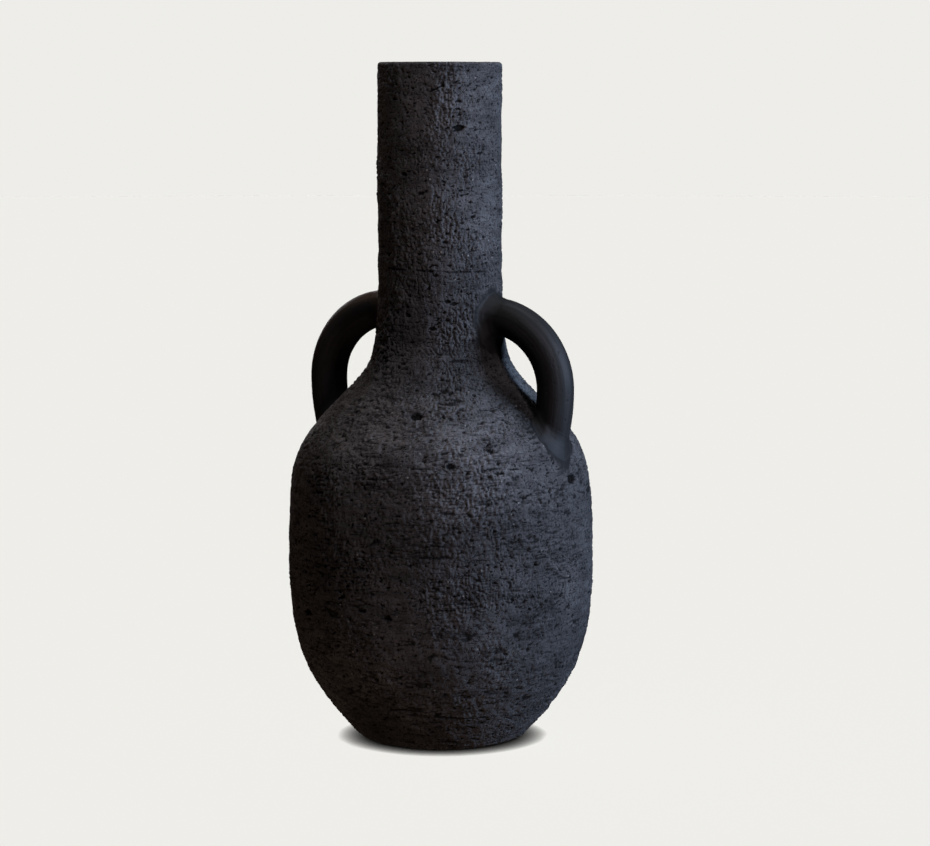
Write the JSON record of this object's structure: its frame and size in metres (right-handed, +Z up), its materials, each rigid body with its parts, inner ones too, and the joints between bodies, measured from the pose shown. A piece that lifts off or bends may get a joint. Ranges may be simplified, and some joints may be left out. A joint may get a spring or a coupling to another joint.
{
  "type": "clay jar",
  "caption": "Tall coil-built black clay jar with a dished base, round belly, straight narrow neck and loop handles luted between neck and shoulder.",
  "frame": {"origin": "centre of the flat foot, on the surface that the jar stands on", "axes": "+Z up the jar's axis through the mouth, +X through the right handle, -X through the left handle"},
  "size_m": [0.1804, 0.1804, 0.4],
  "materials": {
    "chamotte_body": "smoke-fired black chamotte clay, unglazed and open, coarse and matte with pits and drag marks",
    "wiped_handle_clay": "the same clay wiped smooth along the handles, satin",
    "luting_clay": "the same clay smeared on wet with a finger, matte to satin"
  },
  "bodies": {
    "root": {"base_dish": "chamotte_body", "belly_ring_lower": "chamotte_body", "belly_ring_middle": "chamotte_body", "belly_ring_upper": "chamotte_body", "shoulder_ring": "chamotte_body", "neck_ring_lower": "chamotte_body", "neck_ring_upper": "chamotte_body", "rim_ring": "chamotte_body", "handle_left": "wiped_handle_clay", "handle_right": "wiped_handle_clay", "neck_fillet_left": "luting_clay", "shoulder_fillet_left": "luting_clay", "neck_fillet_right": "luting_clay", "shoulder_fillet_right": "luting_clay"}
  },
  "joints": []
}
